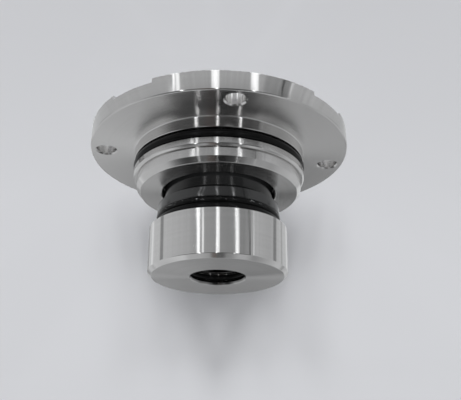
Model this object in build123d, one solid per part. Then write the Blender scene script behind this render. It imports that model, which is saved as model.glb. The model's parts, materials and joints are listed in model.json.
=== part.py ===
"""Cartridge mechanical seal for a pump shaft.

The shaft axis is Z and the nose of the rotor points up. The origin lies on the shaft axis in the
face of the flange that is bolted against the pump, so the flange lies below it and the spigot,
the seal rings and the head of the rotor stand above it. All sizes are in millimetres.
"""
import os

from build123d import *

# --- Shaft and sleeve -----------------------------------------------------------------------
SHAFT_D = 30.0
SLEEVE_WALL = 4.0
SLEEVE_END_BEVEL = 0.5
SHAFT_RING_SECTION = 3.5         # O-ring that seals the sleeve on the shaft
SHAFT_RING_PLAY = 1.7            # O-rings have this much room along their grooves
NOSE_LIP = 2.0                   # steel left between that groove and the nose face
MOUTH_BEVEL = 0.8

# --- Head of the rotor ----------------------------------------------------------------------
HEAD_LENGTH = 26.8
HEAD_RIM = 7.25                  # wall outside the pocket for the rotating ring
NOSE_BEVEL = 2.6
HEAD_EDGE_BREAK = 0.2
POCKET_DEPTH = 7.0

# --- Rotating ring and its gasket -----------------------------------------------------------
ROTATING_BORE_GAP = 0.8          # between the ring and the sleeve
BOSS_WALL = 10.2                 # stepped back of the ring, inside the gasket and the pocket
ROTATING_STEP = 4.8              # how far the front disc stands out beyond the boss
ROTATING_DISC_T = 5.9
POCKET_GAP = 1.5                 # between the boss and the wall of the pocket
GASKET_LENGTH = 7.7
GASKET_SMALL_BEAD = 2.75         # length of the bead next to the rotating ring
GASKET_PROUD = 0.3               # how far the beads stand out beyond the ring
BEAD_SWELL = 0.9
DRIVE_PIN_D = 4.0
DRIVE_PIN_COUNT = 2
DRIVE_PIN_GRIP = 6.0             # length held in the head
DRIVE_PIN_REACH = 3.5            # length standing into the ring

# --- Stationary ring ------------------------------------------------------------------------
SLEEVE_GAP = 1.5                 # between the stationary ring and the sleeve
STATIONARY_WALL = 10.5
FACE_WIDTH = 4.5                 # raised sealing face
FACE_HEIGHT = 1.0
FACE_INSET = 2.0                 # outer edge of the sealing face from the outside of the ring
RING_EDGE_BREAK = 0.4
FACE_TRAVEL = 2.4                # how far the ring can be pushed back against its springs
TRAVEL_MARGIN = 0.1              # left between thrust ring and chamber floor at full travel

# --- Springs, thrust ring and pins behind the stationary ring ---------------------------------
STATION_COUNT = 8                # equal places round the chamber floor: springs and pins
PIN_STATIONS = (0, 4)
SPRING_D = 5.0
SPRING_WIRE = 0.9
SPRING_TURNS = 4.5
SPRING_POCKET_DEPTH = 8.0
THRUST_RING_T = 2.0
THRUST_RING_INSET = 0.5
LOCK_PIN_D = 4.0
LOCK_PIN_GRIP = 7.0
LOCK_PIN_REACH = 2.5             # length standing into the stationary ring

# --- Gland: chamber and spigot --------------------------------------------------------------
CHAMBER_GAP = 1.8                # between the stationary ring and the chamber
CHAMBER_FLOOR_Z = 10.0
CHAMBER_EDGE_BREAK = 0.4
STATIONARY_RING_SECTION = 3.2    # O-ring round the stationary ring
STATIONARY_RING_PLAY = 1.2
STATIONARY_GROOVE_LIFT = 5.6     # from the chamber floor to the groove
SPIGOT_WALL = 16.7
SPIGOT_ROOT_R = 1.0
GLAND_GROOVE_START = 6.3         # from the flange face to the groove
GLAND_RING_SECTION = 5.0
GLAND_RING_PROUD = 0.4
GLAND_RING_PLAY = 1.0
LAND_1 = 4.5                     # locating land beyond the groove
LAND_1_BEVEL = 0.9
SPIGOT_STEP = 2.1
LAND_2 = 5.2
LEAD_BEVEL_R = 2.2
LEAD_BEVEL_Z = 2.85
FACE_STANDOUT = 8.55             # from the end of the spigot to where the rings meet

# --- Gland: flange --------------------------------------------------------------------------
FLANGE_T = 11.5
RIM_BEVEL = 0.5
BOLT_COUNT = 4
BOLT_HOLE_D = 11.0
HOLE_BEVEL = 0.75
BOLT_LAND = 11.0                 # from the spigot to the bolt hole
RIM_LAND = 3.5                   # from the bolt hole to the rim
SLOT_W = 28.2
SLOT_DEPTH = 2.8
SLOT_REACH = 14.0
SLOT_CORNER_R = 4.0

# --- Throttle bush --------------------------------------------------------------------------
BUSH_GAP = 0.3
BUSH_WALL = 4.0
BUSH_LENGTH = 13.0
BACK_LIP_T = 2.5
BACK_LIP_GAP = 1.4               # between the lip and the sleeve

# --- Drive collar, snap ring and set screws ---------------------------------------------------
SETTING_GAP = 5.5                # from the back of the flange to the collar
COLLAR_WALL = 9.0
COLLAR_LENGTH = 14.0
COLLAR_BEVEL = 0.8
SCREW_COUNT = 4
SCREW_D = 6.0
SCREW_RECESS = 0.5               # screws lie this far below the outside of the collar
SCREW_SOCKET_AF = 3.0            # width across the flats of the hexagon socket
SCREW_SOCKET_DEPTH = 3.0
SCREW_TIP_D = 4.0
SNAP_T = 1.5
SNAP_GROOVE_DEPTH = 0.8
SNAP_WIDTH = 3.2
SNAP_OPENING = 9.0
SNAP_LUG_D = 5.0
SNAP_EYE_D = 2.0

# --- Clearances -----------------------------------------------------------------------------
SEAT = 0.05                      # rings in their grooves and pieces pushed onto the sleeve
PRESS = 0.02                     # pins and bush in their holes
MOVING = 0.3                     # between pieces that move past each other

# --- Radii, from the shaft outwards -----------------------------------------------------------
SHAFT_R = SHAFT_D / 2
SLEEVE_R = SHAFT_R + SLEEVE_WALL
STATIONARY_BORE_R = SLEEVE_R + SLEEVE_GAP
STATIONARY_R = STATIONARY_BORE_R + STATIONARY_WALL
FACE_OUTER_R = STATIONARY_R - FACE_INSET
CHAMBER_R = STATIONARY_R + CHAMBER_GAP
SPIGOT_R = CHAMBER_R + SPIGOT_WALL
BOLT_CIRCLE_R = SPIGOT_R + BOLT_LAND + BOLT_HOLE_D / 2
FLANGE_R = BOLT_CIRCLE_R + BOLT_HOLE_D / 2 + RIM_LAND
ROTATING_BORE_R = SLEEVE_R + ROTATING_BORE_GAP
BOSS_R = ROTATING_BORE_R + BOSS_WALL
ROTATING_R = BOSS_R + ROTATING_STEP
POCKET_R = BOSS_R + POCKET_GAP
HEAD_R = POCKET_R + HEAD_RIM
DRIVE_PIN_CIRCLE_R = (ROTATING_BORE_R + BOSS_R) / 2
BUSH_BORE_R = SLEEVE_R + BUSH_GAP
BUSH_R = BUSH_BORE_R + BUSH_WALL
SPRING_CIRCLE_R = (BUSH_R + STATIONARY_R) / 2
COLLAR_BORE_R = SLEEVE_R + SEAT
COLLAR_R = SLEEVE_R + COLLAR_WALL

# --- Widths of the O-ring grooves ---------------------------------------------------------------
SHAFT_RING_GROOVE_W = SHAFT_RING_SECTION + SHAFT_RING_PLAY
STATIONARY_GROOVE_W = STATIONARY_RING_SECTION + STATIONARY_RING_PLAY
GLAND_GROOVE_W = GLAND_RING_SECTION + GLAND_RING_PLAY

# --- Heights, from the flange face ------------------------------------------------------------
FLANGE_BACK_Z = -FLANGE_T
LAND_1_Z = GLAND_GROOVE_START + GLAND_GROOVE_W
STEP_Z = LAND_1_Z + LAND_1
LEAD_Z = STEP_Z + LAND_2
SPIGOT_END_Z = LEAD_Z + LEAD_BEVEL_Z
CONTACT_Z = SPIGOT_END_Z + FACE_STANDOUT
DISC_BACK_Z = CONTACT_Z + ROTATING_DISC_T
HEAD_Z = DISC_BACK_Z + GASKET_LENGTH
POCKET_FLOOR_Z = HEAD_Z + POCKET_DEPTH
NOSE_Z = HEAD_Z + HEAD_LENGTH
THRUST_Z = CHAMBER_FLOOR_Z + FACE_TRAVEL + TRAVEL_MARGIN
STATIONARY_BACK_Z = THRUST_Z + THRUST_RING_T
SPRING_POCKET_Z = CHAMBER_FLOOR_Z - SPRING_POCKET_DEPTH
BUSH_Z = FLANGE_BACK_Z + BACK_LIP_T
COLLAR_TOP_Z = FLANGE_BACK_Z - SETTING_GAP
SLEEVE_END_Z = COLLAR_TOP_Z - COLLAR_LENGTH


def turned(outline, rounded=(), bevelled=()):
    """Revolve (radius, height) corners about Z; some corners are rounded or bevelled first."""
    profile = make_face(Polyline(*outline, close=True))
    for corner, radius in rounded:
        profile = fillet(profile.vertices().sort_by_distance((*corner, 0))[0], radius)
    for corner, size in bevelled:
        profile = chamfer(profile.vertices().sort_by_distance((*corner, 0))[0], size)
    return revolve(Plane.XZ * profile, Axis.Z)


def rod(radius, low, high, circle_r=0.0, angle=0.0):
    """Cylinder along Z between two heights, standing on a circle about the shaft axis."""
    place = Rot(0, 0, angle) * Pos(circle_r, 0, (low + high) / 2)
    return place * Cylinder(radius, high - low)


def o_ring(inner_r, section, middle_z):
    """Rubber ring of round section, from its inner radius."""
    return Pos(0, 0, middle_z) * Torus(inner_r + section / 2, section / 2)


def station_angle(station):
    """Angle of one of the places shared by the springs and the locking pins."""
    return 360 / STATION_COUNT * station


# --- Gland ------------------------------------------------------------------------------------
def bolt_hole():
    """Through hole for one gland bolt, bevelled at both faces."""
    radius = BOLT_HOLE_D / 2
    mouth = radius + HOLE_BEVEL
    over = 1.0
    return turned([(0, FLANGE_BACK_Z - over), (mouth + over, FLANGE_BACK_Z - over),
                   (radius, FLANGE_BACK_Z + HOLE_BEVEL), (radius, -HOLE_BEVEL),
                   (mouth + over, over), (0, over)])


def rim_slot():
    """Shallow slot milled into the back of the flange from the rim, round in its inner corners."""
    over = 5.0
    plan = Pos(FLANGE_R - SLOT_REACH + (SLOT_REACH + over) / 2, 0) * Rectangle(SLOT_REACH + over, SLOT_W)
    plan = fillet(plan.vertices().group_by(Axis.X)[0], SLOT_CORNER_R)
    return Pos(0, 0, FLANGE_BACK_Z) * extrude(plan, SLOT_DEPTH)


def gland_plate():
    groove_floor_r = SPIGOT_R + GLAND_RING_PROUD - GLAND_RING_SECTION - SEAT
    inner_floor_r = STATIONARY_R + MOVING + STATIONARY_RING_SECTION + SEAT
    inner_groove_z = CHAMBER_FLOOR_Z + STATIONARY_GROOVE_LIFT
    bush_seat_r = BUSH_R + PRESS
    lip_r = SLEEVE_R + BACK_LIP_GAP
    body = turned(
        [(FLANGE_R, FLANGE_BACK_Z), (FLANGE_R, 0), (SPIGOT_R, 0),
         (SPIGOT_R, GLAND_GROOVE_START), (groove_floor_r, GLAND_GROOVE_START),
         (groove_floor_r, LAND_1_Z), (SPIGOT_R, LAND_1_Z),
         (SPIGOT_R, STEP_Z), (SPIGOT_R - SPIGOT_STEP, STEP_Z),
         (SPIGOT_R - SPIGOT_STEP, LEAD_Z), (SPIGOT_R - SPIGOT_STEP - LEAD_BEVEL_R, SPIGOT_END_Z),
         (CHAMBER_R, SPIGOT_END_Z),
         (CHAMBER_R, inner_groove_z + STATIONARY_GROOVE_W),
         (inner_floor_r, inner_groove_z + STATIONARY_GROOVE_W),
         (inner_floor_r, inner_groove_z), (CHAMBER_R, inner_groove_z),
         (CHAMBER_R, CHAMBER_FLOOR_Z), (bush_seat_r, CHAMBER_FLOOR_Z),
         (bush_seat_r, BUSH_Z), (lip_r, BUSH_Z), (lip_r, FLANGE_BACK_Z)],
        rounded=[((SPIGOT_R, 0), SPIGOT_ROOT_R)],
        bevelled=[((FLANGE_R, FLANGE_BACK_Z), RIM_BEVEL), ((FLANGE_R, 0), RIM_BEVEL),
                  ((SPIGOT_R, STEP_Z), LAND_1_BEVEL), ((CHAMBER_R, SPIGOT_END_Z), CHAMBER_EDGE_BREAK)])
    hole = bolt_hole()
    slot = rim_slot()
    for turn in range(BOLT_COUNT):
        angle = 360 / BOLT_COUNT * turn
        body -= Rot(0, 0, angle) * Pos(BOLT_CIRCLE_R, 0) * hole
        body -= Rot(0, 0, angle + 180 / BOLT_COUNT) * slot
    for station in range(STATION_COUNT):
        if station in PIN_STATIONS:
            low, radius = CHAMBER_FLOOR_Z - LOCK_PIN_GRIP, LOCK_PIN_D / 2 + PRESS
        else:
            low, radius = SPRING_POCKET_Z, SPRING_D / 2 + MOVING
        body -= rod(radius, low, CHAMBER_FLOOR_Z, SPRING_CIRCLE_R, station_angle(station))
    return body


def gland_o_ring():
    inner_r = SPIGOT_R + GLAND_RING_PROUD - GLAND_RING_SECTION
    return o_ring(inner_r, GLAND_RING_SECTION, GLAND_GROOVE_START + GLAND_GROOVE_W / 2)


def stationary_o_ring():
    middle_z = CHAMBER_FLOOR_Z + STATIONARY_GROOVE_LIFT + STATIONARY_GROOVE_W / 2
    return o_ring(STATIONARY_R + MOVING, STATIONARY_RING_SECTION, middle_z)


def throttle_bush():
    top_z = BUSH_Z + BUSH_LENGTH
    return turned([(BUSH_BORE_R, BUSH_Z), (BUSH_R, BUSH_Z), (BUSH_R, top_z), (BUSH_BORE_R, top_z)],
                  bevelled=[((BUSH_R, BUSH_Z), RING_EDGE_BREAK), ((BUSH_R, top_z), RING_EDGE_BREAK)])


def lock_pin(station):
    """Pin in the chamber floor that keeps the stationary ring from turning."""
    top_z = STATIONARY_BACK_Z + LOCK_PIN_REACH
    return rod(LOCK_PIN_D / 2, CHAMBER_FLOOR_Z - LOCK_PIN_GRIP, top_z, SPRING_CIRCLE_R, station_angle(station))


# --- Sprung seal face -------------------------------------------------------------------------
def stationary_ring():
    face_base_z = CONTACT_Z - FACE_HEIGHT
    ring = turned(
        [(STATIONARY_BORE_R, STATIONARY_BACK_Z), (STATIONARY_R, STATIONARY_BACK_Z),
         (STATIONARY_R, face_base_z), (FACE_OUTER_R, face_base_z), (FACE_OUTER_R, CONTACT_Z),
         (FACE_OUTER_R - FACE_WIDTH, CONTACT_Z), (FACE_OUTER_R - FACE_WIDTH, face_base_z),
         (STATIONARY_BORE_R, face_base_z)],
        bevelled=[((STATIONARY_R, STATIONARY_BACK_Z), RING_EDGE_BREAK),
                  ((STATIONARY_R, face_base_z), RING_EDGE_BREAK)])
    socket_top_z = STATIONARY_BACK_Z + LOCK_PIN_REACH + FACE_TRAVEL + MOVING
    for station in PIN_STATIONS:
        ring -= rod(LOCK_PIN_D / 2 + MOVING, STATIONARY_BACK_Z, socket_top_z, SPRING_CIRCLE_R,
                    station_angle(station))
    return ring


def spring_thrust_ring():
    inner_r = BUSH_R + THRUST_RING_INSET
    outer_r = CHAMBER_R - CHAMBER_GAP - THRUST_RING_INSET
    ring = turned([(inner_r, THRUST_Z), (outer_r, THRUST_Z),
                   (outer_r, STATIONARY_BACK_Z), (inner_r, STATIONARY_BACK_Z)])
    for station in PIN_STATIONS:
        ring -= rod(LOCK_PIN_D / 2 + MOVING, THRUST_Z, STATIONARY_BACK_Z, SPRING_CIRCLE_R,
                    station_angle(station))
    return ring


def coil_spring(station):
    """Small compression spring between its pocket and the thrust ring."""
    wire_r = SPRING_WIRE / 2
    rise = THRUST_Z - SPRING_POCKET_Z - SPRING_WIRE
    coil = Helix(rise / SPRING_TURNS, rise, SPRING_D / 2 - wire_r)
    wire = sweep(Plane(origin=coil @ 0, z_dir=coil % 0) * Circle(wire_r), path=coil, is_frenet=True)
    foot = Pos(SPRING_CIRCLE_R, 0, SPRING_POCKET_Z + wire_r)
    return Rot(0, 0, station_angle(station)) * foot * wire


# --- Rotor ------------------------------------------------------------------------------------
def rotor_sleeve():
    shaft_groove_r = SHAFT_R + SEAT + SHAFT_RING_SECTION + SEAT
    shaft_groove_top_z = NOSE_Z - NOSE_LIP
    snap_groove_r = SLEEVE_R - SNAP_GROOVE_DEPTH
    body = turned(
        [(SHAFT_R, SLEEVE_END_Z), (SLEEVE_R, SLEEVE_END_Z),
         (SLEEVE_R, COLLAR_TOP_Z), (snap_groove_r, COLLAR_TOP_Z),
         (snap_groove_r, COLLAR_TOP_Z + SNAP_T + SEAT), (SLEEVE_R, COLLAR_TOP_Z + SNAP_T + SEAT),
         (SLEEVE_R, POCKET_FLOOR_Z), (POCKET_R, POCKET_FLOOR_Z), (POCKET_R, HEAD_Z), (HEAD_R, HEAD_Z),
         (HEAD_R, NOSE_Z), (SHAFT_R, NOSE_Z),
         (SHAFT_R, shaft_groove_top_z), (shaft_groove_r, shaft_groove_top_z),
         (shaft_groove_r, shaft_groove_top_z - SHAFT_RING_GROOVE_W),
         (SHAFT_R, shaft_groove_top_z - SHAFT_RING_GROOVE_W)],
        bevelled=[((SLEEVE_R, SLEEVE_END_Z), SLEEVE_END_BEVEL), ((HEAD_R, HEAD_Z), HEAD_EDGE_BREAK),
                  ((HEAD_R, NOSE_Z), NOSE_BEVEL), ((SHAFT_R, NOSE_Z), MOUTH_BEVEL)])
    for pin in range(DRIVE_PIN_COUNT):
        body -= rod(DRIVE_PIN_D / 2 + PRESS, POCKET_FLOOR_Z, POCKET_FLOOR_Z + DRIVE_PIN_GRIP,
                    DRIVE_PIN_CIRCLE_R, 360 / DRIVE_PIN_COUNT * pin)
    for screw in range(SCREW_COUNT):
        body -= screw_frame(screw) * rod(SCREW_D / 2 + MOVING, 0, SLEEVE_R + SLEEVE_WALL)
    return body


def rotating_ring():
    ring = turned(
        [(ROTATING_BORE_R, CONTACT_Z), (ROTATING_R, CONTACT_Z), (ROTATING_R, DISC_BACK_Z),
         (BOSS_R, DISC_BACK_Z), (BOSS_R, POCKET_FLOOR_Z), (ROTATING_BORE_R, POCKET_FLOOR_Z)],
        bevelled=[((ROTATING_R, CONTACT_Z), RING_EDGE_BREAK), ((ROTATING_R, DISC_BACK_Z), RING_EDGE_BREAK)])
    for pin in range(DRIVE_PIN_COUNT):
        ring -= rod(DRIVE_PIN_D / 2 + MOVING, POCKET_FLOOR_Z - DRIVE_PIN_REACH - MOVING, POCKET_FLOOR_Z,
                    DRIVE_PIN_CIRCLE_R, 360 / DRIVE_PIN_COUNT * pin)
    return ring


def rotating_ring_gasket():
    """Rubber collar round the boss of the rotating ring, with a small and a large bead outside."""
    inner_r = BOSS_R + SEAT
    crest_r = ROTATING_R + GASKET_PROUD
    root_r = crest_r - BEAD_SWELL
    neck_z = DISC_BACK_Z + GASKET_SMALL_BEAD
    outline = (Polyline((root_r, DISC_BACK_Z), (inner_r, DISC_BACK_Z), (inner_r, HEAD_Z), (root_r, HEAD_Z))
               + ThreePointArc((root_r, HEAD_Z), (crest_r, (HEAD_Z + neck_z) / 2), (root_r, neck_z))
               + ThreePointArc((root_r, neck_z), (crest_r, (neck_z + DISC_BACK_Z) / 2), (root_r, DISC_BACK_Z)))
    return revolve(Plane.XZ * make_face(outline), Axis.Z)


def shaft_o_ring():
    middle_z = NOSE_Z - NOSE_LIP - SHAFT_RING_GROOVE_W / 2
    return o_ring(SHAFT_R + SEAT, SHAFT_RING_SECTION, middle_z)


def ring_drive_pin(pin):
    """Pin in the floor of the head's pocket that turns the rotating ring."""
    return rod(DRIVE_PIN_D / 2, POCKET_FLOOR_Z - DRIVE_PIN_REACH, POCKET_FLOOR_Z + DRIVE_PIN_GRIP,
               DRIVE_PIN_CIRCLE_R, 360 / DRIVE_PIN_COUNT * pin)


# --- Drive collar -----------------------------------------------------------------------------
def screw_frame(screw):
    """Frame of one set screw: its own Z points outwards along the screw."""
    middle_z = COLLAR_TOP_Z - COLLAR_LENGTH / 2
    angle = 360 / SCREW_COUNT * (screw + 0.5)
    return Pos(0, 0, middle_z) * Rot(0, 0, angle) * Rot(0, 90, 0)


def drive_collar():
    collar = turned(
        [(COLLAR_BORE_R, SLEEVE_END_Z), (COLLAR_R, SLEEVE_END_Z),
         (COLLAR_R, COLLAR_TOP_Z), (COLLAR_BORE_R, COLLAR_TOP_Z)],
        bevelled=[((COLLAR_R, SLEEVE_END_Z), COLLAR_BEVEL), ((COLLAR_R, COLLAR_TOP_Z), COLLAR_BEVEL)])
    for screw in range(SCREW_COUNT):
        collar -= screw_frame(screw) * rod(SCREW_D / 2 + PRESS, SHAFT_R, COLLAR_R + COLLAR_WALL)
    return collar


def set_screw(screw):
    """Headless screw with a hexagon socket and a turned-down point that bears on the shaft."""
    tip_r, end_r = SHAFT_R + MOVING, COLLAR_R - SCREW_RECESS
    body = turned([(0, tip_r), (SCREW_D / 2, tip_r), (SCREW_D / 2, end_r), (0, end_r)],
                  bevelled=[((SCREW_D / 2, tip_r), (SCREW_D - SCREW_TIP_D) / 2),
                            ((SCREW_D / 2, end_r), RING_EDGE_BREAK)])
    socket = extrude(RegularPolygon(SCREW_SOCKET_AF / 2, 6, major_radius=False), SCREW_SOCKET_DEPTH)
    return screw_frame(screw) * (body - Pos(0, 0, end_r - SCREW_SOCKET_DEPTH) * socket)


def snap_ring():
    """Open spring ring in the sleeve groove, with an eye at each end for the pliers."""
    inner_r = SLEEVE_R - SNAP_GROOVE_DEPTH + SEAT
    outer_r = inner_r + SNAP_WIDTH
    plan = Circle(outer_r) - Circle(inner_r)
    plan -= Pos(outer_r, 0) * Rectangle(2 * outer_r, SNAP_OPENING)
    lug_r = outer_r - SNAP_LUG_D / 2 + SEAT
    lugs = [Pos(lug_r, side * (SNAP_OPENING + SNAP_LUG_D) / 2) for side in (-1, 1)]
    for lug in lugs:
        plan += lug * Circle(SNAP_LUG_D / 2)
    plan -= Circle(SLEEVE_R + SEAT) & Pos(outer_r, 0) * Rectangle(2 * outer_r, SNAP_OPENING + 2 * SNAP_LUG_D)
    for lug in lugs:
        plan -= lug * Circle(SNAP_EYE_D / 2)
    return Pos(0, 0, COLLAR_TOP_Z) * extrude(plan, SNAP_T)


# --- The whole cartridge ------------------------------------------------------------------------
pieces = {
    "gland_plate": gland_plate(),
    "gland_o_ring": gland_o_ring(),
    "stationary_o_ring": stationary_o_ring(),
    "throttle_bush": throttle_bush(),
    "stationary_ring": stationary_ring(),
    "spring_thrust_ring": spring_thrust_ring(),
    "rotor_sleeve": rotor_sleeve(),
    "rotating_ring": rotating_ring(),
    "rotating_ring_gasket": rotating_ring_gasket(),
    "shaft_o_ring": shaft_o_ring(),
    "drive_collar": drive_collar(),
    "snap_ring": snap_ring(),
}
spring_stations = [station for station in range(STATION_COUNT) if station not in PIN_STATIONS]
for number, station in enumerate(spring_stations, start=1):
    pieces[f"spring_{number}"] = coil_spring(station)
for number, station in enumerate(PIN_STATIONS, start=1):
    pieces[f"anti_rotation_pin_{number}"] = lock_pin(station)
for pin in range(DRIVE_PIN_COUNT):
    pieces[f"ring_drive_pin_{pin + 1}"] = ring_drive_pin(pin)
for screw in range(SCREW_COUNT):
    pieces[f"set_screw_{screw + 1}"] = set_screw(screw)

os.makedirs("parts", exist_ok=True)
for name, piece in pieces.items():
    export_step(piece, f"parts/{name}.step")
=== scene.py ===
# %% [markdown]
# # A cartridge mechanical seal
#
# A cartridge seal closes the gap between a pump's housing and its turning shaft. A flanged steel
# gland bolts to the pump, a head and sleeve turn with the shaft, and two hard rings run face to
# face between them. This lesson dresses the engineering model of one. The model is loaded first
# and never changed, because every piece made here has to fit it to the hundredth of a millimetre.

# %% Load the frame
import bpy
import json
import math
from mathutils import Euler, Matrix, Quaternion, Vector

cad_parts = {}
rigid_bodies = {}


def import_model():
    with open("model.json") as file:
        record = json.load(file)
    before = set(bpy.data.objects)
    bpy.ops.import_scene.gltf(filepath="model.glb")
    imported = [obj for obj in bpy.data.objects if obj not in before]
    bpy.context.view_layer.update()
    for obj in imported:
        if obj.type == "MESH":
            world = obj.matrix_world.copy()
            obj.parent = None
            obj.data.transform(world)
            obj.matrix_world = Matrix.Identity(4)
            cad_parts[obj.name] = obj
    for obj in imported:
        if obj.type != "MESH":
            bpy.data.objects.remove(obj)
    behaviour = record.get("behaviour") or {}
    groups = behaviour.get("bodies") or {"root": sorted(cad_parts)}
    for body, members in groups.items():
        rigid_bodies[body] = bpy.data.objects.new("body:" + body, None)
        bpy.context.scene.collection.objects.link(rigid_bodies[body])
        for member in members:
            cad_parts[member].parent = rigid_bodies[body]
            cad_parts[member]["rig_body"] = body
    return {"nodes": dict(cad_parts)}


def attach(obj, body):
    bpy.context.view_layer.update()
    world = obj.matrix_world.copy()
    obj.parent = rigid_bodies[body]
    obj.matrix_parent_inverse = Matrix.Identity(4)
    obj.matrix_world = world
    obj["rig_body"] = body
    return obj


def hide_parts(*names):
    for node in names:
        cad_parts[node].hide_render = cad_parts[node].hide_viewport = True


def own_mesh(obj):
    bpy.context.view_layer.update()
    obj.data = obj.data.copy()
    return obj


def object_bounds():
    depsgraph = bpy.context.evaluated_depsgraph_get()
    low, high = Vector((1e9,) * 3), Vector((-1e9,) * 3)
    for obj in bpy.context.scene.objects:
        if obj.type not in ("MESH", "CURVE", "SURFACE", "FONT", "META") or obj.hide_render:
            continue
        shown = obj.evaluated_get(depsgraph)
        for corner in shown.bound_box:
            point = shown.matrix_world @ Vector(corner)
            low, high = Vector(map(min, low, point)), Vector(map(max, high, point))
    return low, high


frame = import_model()
cad_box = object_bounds()
nodes = frame["nodes"]

# %% [markdown]
# ## Working like a lathe
#
# Nearly every piece here came off a lathe, so each one can be made as the lathe made it: half of
# its cross-section is drawn as an outline beside the shaft axis, and the outline is spun round that
# axis. It could also be cut from a cylinder, but an outline keeps every step of the profile in one
# short list. It is drawn with the extrude tool, one corner after another, as with a pen. An
# operator acts on all that is selected, so the first helpers let go of everything else.

# %% Selecting
def hands_off():
    """Leave edit mode and let go of everything."""
    if bpy.context.mode != "OBJECT":
        bpy.ops.object.mode_set(mode="OBJECT")
    bpy.ops.object.select_all(action="DESELECT")


def take(piece):
    """Select one piece and nothing else."""
    hands_off()
    piece.select_set(True)
    bpy.context.view_layer.objects.active = piece


# %% Drawing an outline
MM = 0.001
SAME_CORNER = 0.001 * MM     # corners nearer than this are one


def draw_outline(name, corners):
    """Pen the outline of (radius, height) corners, in millimetres, on the XZ plane.

    It is closed, unless it starts and ends on the axis, where spinning closes it.
    """
    hands_off()
    radius, height = corners[0]
    bpy.ops.mesh.primitive_plane_add(size=MM, location=(radius * MM, 0, height * MM))
    piece = bpy.context.object
    piece.name = piece.data.name = name
    bpy.ops.object.transform_apply(location=True, rotation=True, scale=True)
    bpy.ops.object.mode_set(mode="EDIT")
    bpy.ops.mesh.select_all(action="SELECT")
    bpy.ops.mesh.merge(type="CENTER")
    on_axis = corners[0][0] == corners[-1][0] == 0
    for corner in corners[1:] + ([] if on_axis else corners[:1]):
        stroke = ((corner[0] - radius) * MM, 0, (corner[1] - height) * MM)
        bpy.ops.mesh.extrude_region_move(TRANSFORM_OT_translate={"value": stroke})
        radius, height = corner
    bpy.ops.mesh.select_all(action="SELECT")
    bpy.ops.mesh.remove_doubles(threshold=SAME_CORNER)
    return piece


# %% [markdown]
# ## Broken edges
#
# A lathe hand breaks every sharp corner with a tiny bevel, and that bevel is what glints along an
# edge. Bevelling the finished piece would mean finding its edges, so the corners of the outline are
# bevelled before it is spun. A corner counts as sharp if the outline turns by enough there, and
# corners beside a very short edge are left, because their bevels would run into each other.

# %% Breaking corners
SHARP_TURN = math.radians(40)     # corners that turn more than this are broken
ROOM = 2.5                        # an edge under this many bevels long keeps its corners


def break_corners(piece, size):
    """Bevel the outline's sharp corners by a size in millimetres."""
    bpy.ops.mesh.select_all(action="DESELECT")
    bpy.ops.object.mode_set(mode="OBJECT")
    corners = piece.data.vertices
    ways = {corner.index: [] for corner in corners}
    for edge in piece.data.edges:
        start, end = edge.vertices
        ways[start].append(corners[end].co - corners[start].co)
        ways[end].append(corners[start].co - corners[end].co)
    for index, (one, other) in ((i, pair) for i, pair in ways.items() if len(pair) == 2):
        long_enough = min(one.length, other.length) > ROOM * size * MM
        turn = math.pi - one.angle(other)
        corners[index].select = turn > SHARP_TURN and long_enough
    bpy.ops.object.mode_set(mode="EDIT")
    bpy.ops.mesh.bevel(offset=size * MM, segments=1, affect="VERTICES")


# %% Spinning
SMOOTH_LIMIT = math.radians(20)   # faces that meet at less than this shade as one
SAME_POINT = 0.002 * MM           # points of the spun mesh nearer than this are one


def turned(name, corners, edge=0.12, steps=256):
    """Turn a piece from its outline, with its edges broken by a small bevel."""
    piece = draw_outline(name, corners)
    if edge:
        break_corners(piece, edge)
    bpy.ops.mesh.select_all(action="SELECT")
    bpy.ops.mesh.spin(steps=steps, angle=2 * math.pi, center=(0, 0, 0), axis=(0, 0, 1))
    bpy.ops.mesh.select_all(action="SELECT")
    bpy.ops.mesh.remove_doubles(threshold=SAME_POINT)
    bpy.ops.mesh.normals_make_consistent(inside=False)
    bpy.ops.object.mode_set(mode="OBJECT")
    bpy.ops.object.shade_smooth_by_angle(angle=SMOOTH_LIMIT)
    print(name, "turned with", len(piece.data.polygons), "faces")
    return piece


def arc(centre, radius, start, end, points=7):
    """Corners along an arc in the outline plane, with angles in degrees."""
    turns = [math.radians(start + (end - start) * k / (points - 1)) for k in range(points)]
    return [(centre[0] + radius * math.cos(t), centre[1] + radius * math.sin(t)) for t in turns]


# %% [markdown]
# ## Taking the place of the model's pieces
#
# Each finished piece stands for one node of the engineering model, which is then hidden. It moves
# with the same body as that node.

# %% Standing in
def stand_in(piece, node):
    """Let a finished piece take the place of its node, on the node's body."""
    body = nodes[node]["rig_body"]
    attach(piece, body)
    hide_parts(node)


# %% [markdown]
# ## Cutting holes
#
# Holes that don't lie on the axis are cut as a drill or a milling cutter would: the tool's shape is
# made as a piece of its own, set in place, and taken away with a Boolean modifier. All the tools of
# one piece are joined first, so that one cut does for all.

# %% Placing tools
QUARTERS = (90, 180, 270)


def placed(tool, location, rotation=(0, 0, 0)):
    """Move a tool to its place and fix the place into its mesh."""
    take(tool)
    tool.location, tool.rotation_euler = location, rotation
    bpy.ops.object.transform_apply(location=True, rotation=True, scale=True)
    return tool


def copied(tool, angle):
    """A copy of a tool with its own mesh, turned round the shaft axis by an angle in degrees."""
    take(tool)
    bpy.ops.object.duplicate()
    return placed(bpy.context.object, (0, 0, 0), (0, 0, math.radians(angle)))


def round_cutter(name, radius, low, high, at=0, steps=24):
    """A plain round tool between two heights, at a distance from the shaft axis."""
    tool = turned(name, [(0, low), (radius, low), (radius, high), (0, high)], edge=0, steps=steps)
    return placed(tool, (at * MM, 0, 0))


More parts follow.
